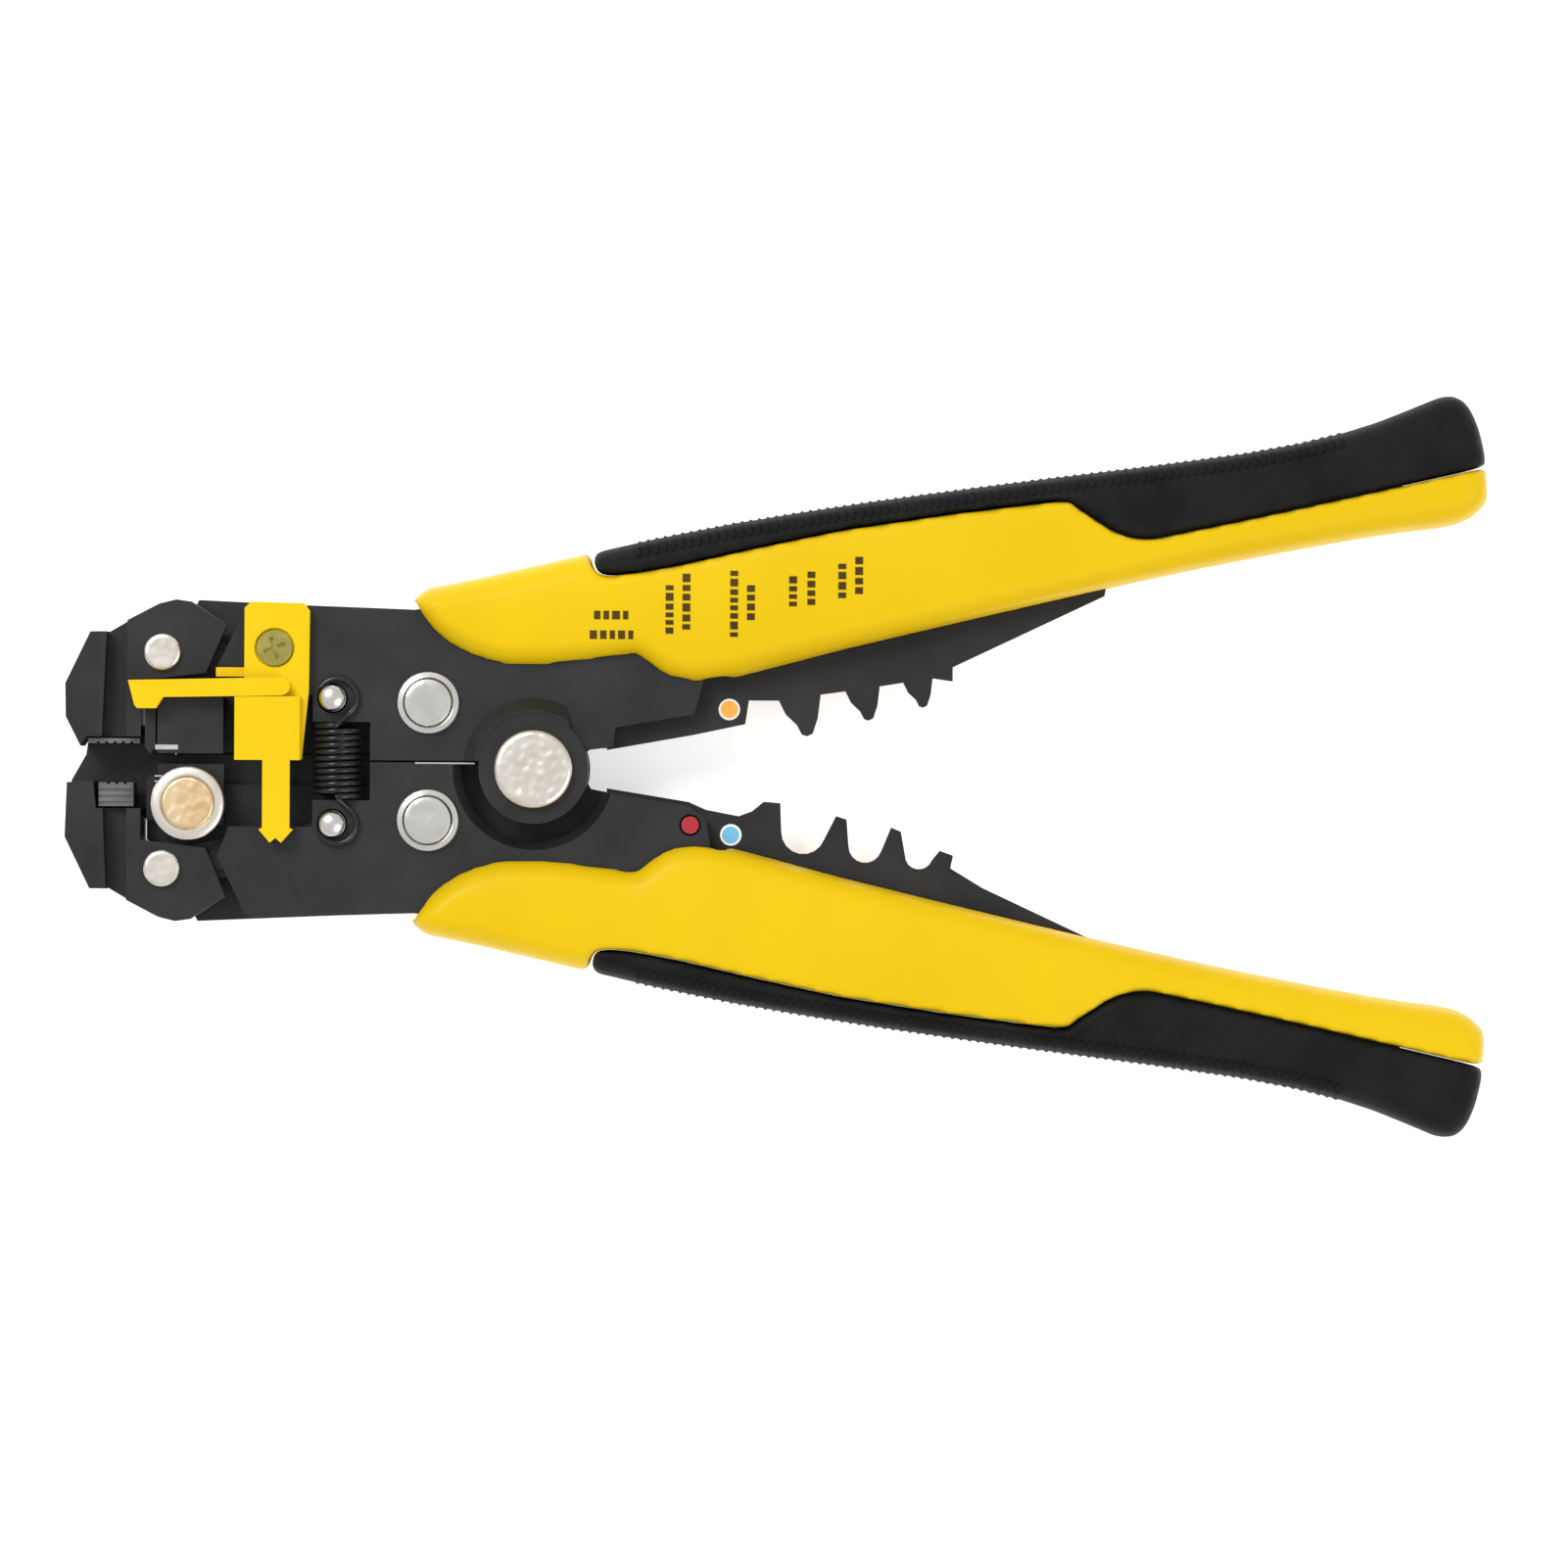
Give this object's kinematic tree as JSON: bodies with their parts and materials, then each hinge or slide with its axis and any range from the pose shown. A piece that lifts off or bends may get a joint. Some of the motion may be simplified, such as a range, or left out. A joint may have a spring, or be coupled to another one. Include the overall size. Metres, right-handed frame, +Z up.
{
  "type": "wire stripper",
  "caption": "Self-adjusting plier-type wire stripper with gripping nose, blade carriers, return spring, sliding wire stop, wire cutter and crimping dies between moulded handles",
  "frame": {"origin": "centre of the flat back head of the main rivet, on the resting surface", "axes": "+X along the tool from the pivot to the handle ends, +Y across the handles, +Z up through the front face"},
  "size_m": [0.2035, 0.1062, 0.0181],
  "materials": {
    "black_steel": "satin black",
    "tool_steel": "dark oxide",
    "bright_rivet": "polished",
    "nickel_rivet": "warm nickel",
    "blade_steel": "ground",
    "pad_steel": "worn dark oxide",
    "spring_steel": "glossy black",
    "brass": "satin",
    "screw_brass": "olive plated",
    "yellow_grip": "satin moulded",
    "yellow_stop": "moulded",
    "black_overmould": "matte ribbed",
    "orange_mark": "paint",
    "red_mark": "paint",
    "blue_mark": "paint"
  },
  "bodies": {
    "lower_frame": {"lower_front_plate": "black_steel", "lower_back_plate": "black_steel", "lower_crimp_plate": "tool_steel", "lower_grip": "yellow_grip", "lower_grip_overmould": "black_overmould", "lower_head_spacer": "tool_steel", "lower_mid_spacer": "tool_steel", "lower_tail_spacer": "tool_steel", "lower_arm_rivet": "bright_rivet", "lower_spring_pin": "bright_rivet", "main_rivet": "nickel_rivet", "pivot_bush": "blade_steel", "return_spring": "spring_steel", "red_size_dot": "red_mark", "blue_size_dot": "blue_mark"},
    "upper_frame": {"upper_front_plate": "black_steel", "upper_back_plate": "black_steel", "upper_crimp_plate": "tool_steel", "upper_grip": "yellow_grip", "upper_grip_overmould": "black_overmould", "upper_head_spacer": "tool_steel", "upper_mid_spacer": "tool_steel", "upper_tail_spacer": "tool_steel", "upper_arm_rivet": "bright_rivet", "upper_spring_pin": "bright_rivet", "orange_size_dot": "orange_mark"},
    "lower_arm": {"lower_arm": "tool_steel", "lower_blade_carrier": "tool_steel", "lower_carrier_cover": "black_steel", "lower_blade": "tool_steel", "lower_guide_pin": "tool_steel"},
    "lower_nose": {"lower_nose_bar": "tool_steel", "lower_nose_rivet": "nickel_rivet"},
    "lower_jaw": {"lower_nose_jaw": "black_steel", "lower_gripping_pad": "pad_steel"},
    "upper_arm": {"upper_arm": "tool_steel", "upper_blade_carrier": "tool_steel", "upper_carrier_cover": "black_steel", "upper_blade": "tool_steel", "upper_guide_pin": "tool_steel"},
    "upper_nose": {"upper_nose_bar": "tool_steel", "upper_nose_rivet": "nickel_rivet"},
    "upper_jaw": {"upper_nose_jaw": "black_steel", "upper_gripping_pad": "pad_steel"},
    "knob": {"tension_knob": "nickel_rivet", "knob_insert": "brass"},
    "stop": {"wire_stop": "yellow_stop", "wire_stop_screw": "screw_brass"}
  },
  "joints": [
    {"name": "squeeze", "type": "hinge", "parent": "lower_frame", "child": "upper_frame", "pos_m": [0, 0, 0.009], "axis": [0, 0, 1], "range_deg": [-22.5, 0], "stiffness_Nm_per_rad": 0.8, "springref_deg": 8.59, "deforming": ["return_spring"]},
    {"name": "upper_arm_swing", "type": "hinge", "parent": "upper_frame", "child": "upper_arm", "pos_m": [-0.0151, 0.0094, 0.0073], "axis": [0, 0, 1], "range_deg": [0, 19.63]},
    {"name": "lower_arm_swing", "type": "hinge", "parent": "lower_frame", "child": "lower_arm", "pos_m": [-0.0151, -0.0074, 0.0073], "axis": [0, 0, 1], "range_deg": [-19.63, 0]},
    {"name": "upper_nose_slide", "type": "slide", "parent": "upper_arm", "child": "upper_nose", "axis": [-0.9832, 0.1824, 0], "range_m": [0, 0.00885]},
    {"name": "lower_nose_slide", "type": "slide", "parent": "lower_arm", "child": "lower_nose", "axis": [-0.9832, -0.1824, 0], "range_m": [0, 0.00885]},
    {"name": "upper_jaw_tilt", "type": "hinge", "parent": "upper_nose", "child": "upper_jaw", "pos_m": [-0.0531, 0.01645, 0.0103], "axis": [0, 0, 1], "range_deg": [-8.38, 0]},
    {"name": "lower_jaw_tilt", "type": "hinge", "parent": "lower_nose", "child": "lower_jaw", "pos_m": [-0.0531, -0.01445, 0.0103], "axis": [0, 0, 1], "range_deg": [0, 8.38]},
    {"name": "knob_turn", "type": "hinge", "parent": "lower_arm", "child": "knob", "pos_m": [-0.04935, -0.0051, 0.0155], "axis": [0, 0, 1], "range_deg": [-180, 180]},
    {"name": "wire_stop_slide", "type": "slide", "parent": "upper_frame", "child": "stop", "axis": [1, 0, 0], "range_m": [-0.003, 0]}
  ],
  "couplings": [
    {"joint": "upper_arm_swing", "follows": "squeeze", "ratio": -0.868},
    {"joint": "lower_arm_swing", "follows": "squeeze", "ratio": 0.868},
    {"joint": "upper_nose_slide", "follows": "squeeze", "m_per_rad": -0.02242},
    {"joint": "lower_nose_slide", "follows": "squeeze", "m_per_rad": -0.02242},
    {"joint": "upper_jaw_tilt", "follows": "squeeze", "ratio": 0.368},
    {"joint": "lower_jaw_tilt", "follows": "squeeze", "ratio": -0.368}
  ]
}
